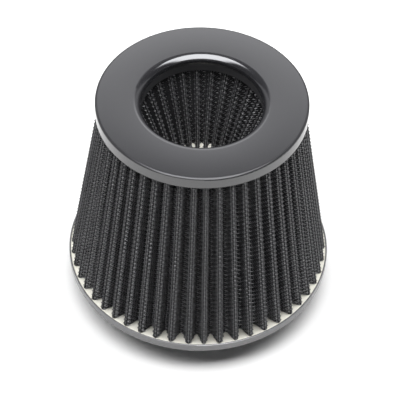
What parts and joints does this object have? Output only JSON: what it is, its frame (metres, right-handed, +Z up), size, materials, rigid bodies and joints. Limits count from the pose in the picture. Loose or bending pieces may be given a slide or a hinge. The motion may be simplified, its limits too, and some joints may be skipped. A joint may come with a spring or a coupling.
{
  "type": "performance air filter",
  "caption": "Round cone air filter with pleated wire-faced media, an open ring cap over an inverted inner pleated cone, a potted base pan and a short tube neck.",
  "frame": {"origin": "centre of the lower end of the neck", "axes": "+Z up the axis of the cones, from the neck to the open cap; +X to the right of the picture, -Y towards its camera"},
  "size_m": [0.15, 0.15, 0.1376],
  "materials": {
    "cap_enamel": "satin black stoved enamel on pressed steel",
    "pan_enamel": "satin grey enamel on pressed steel",
    "wire_screen": "black epoxy-coated woven wire",
    "gauze": "black cotton gauze",
    "potting": "cast off-white polyurethane, matt"
  },
  "bodies": {
    "root": {"top_cap": "cap_enamel", "top_seal": "potting", "outer_screen": "wire_screen", "outer_gauze": "gauze", "inner_screen": "wire_screen", "inner_gauze": "gauze", "tip_cup": "pan_enamel", "tip_seal": "potting", "base_pan": "pan_enamel", "base_seal": "potting", "neck_collar": "pan_enamel"}
  },
  "joints": []
}
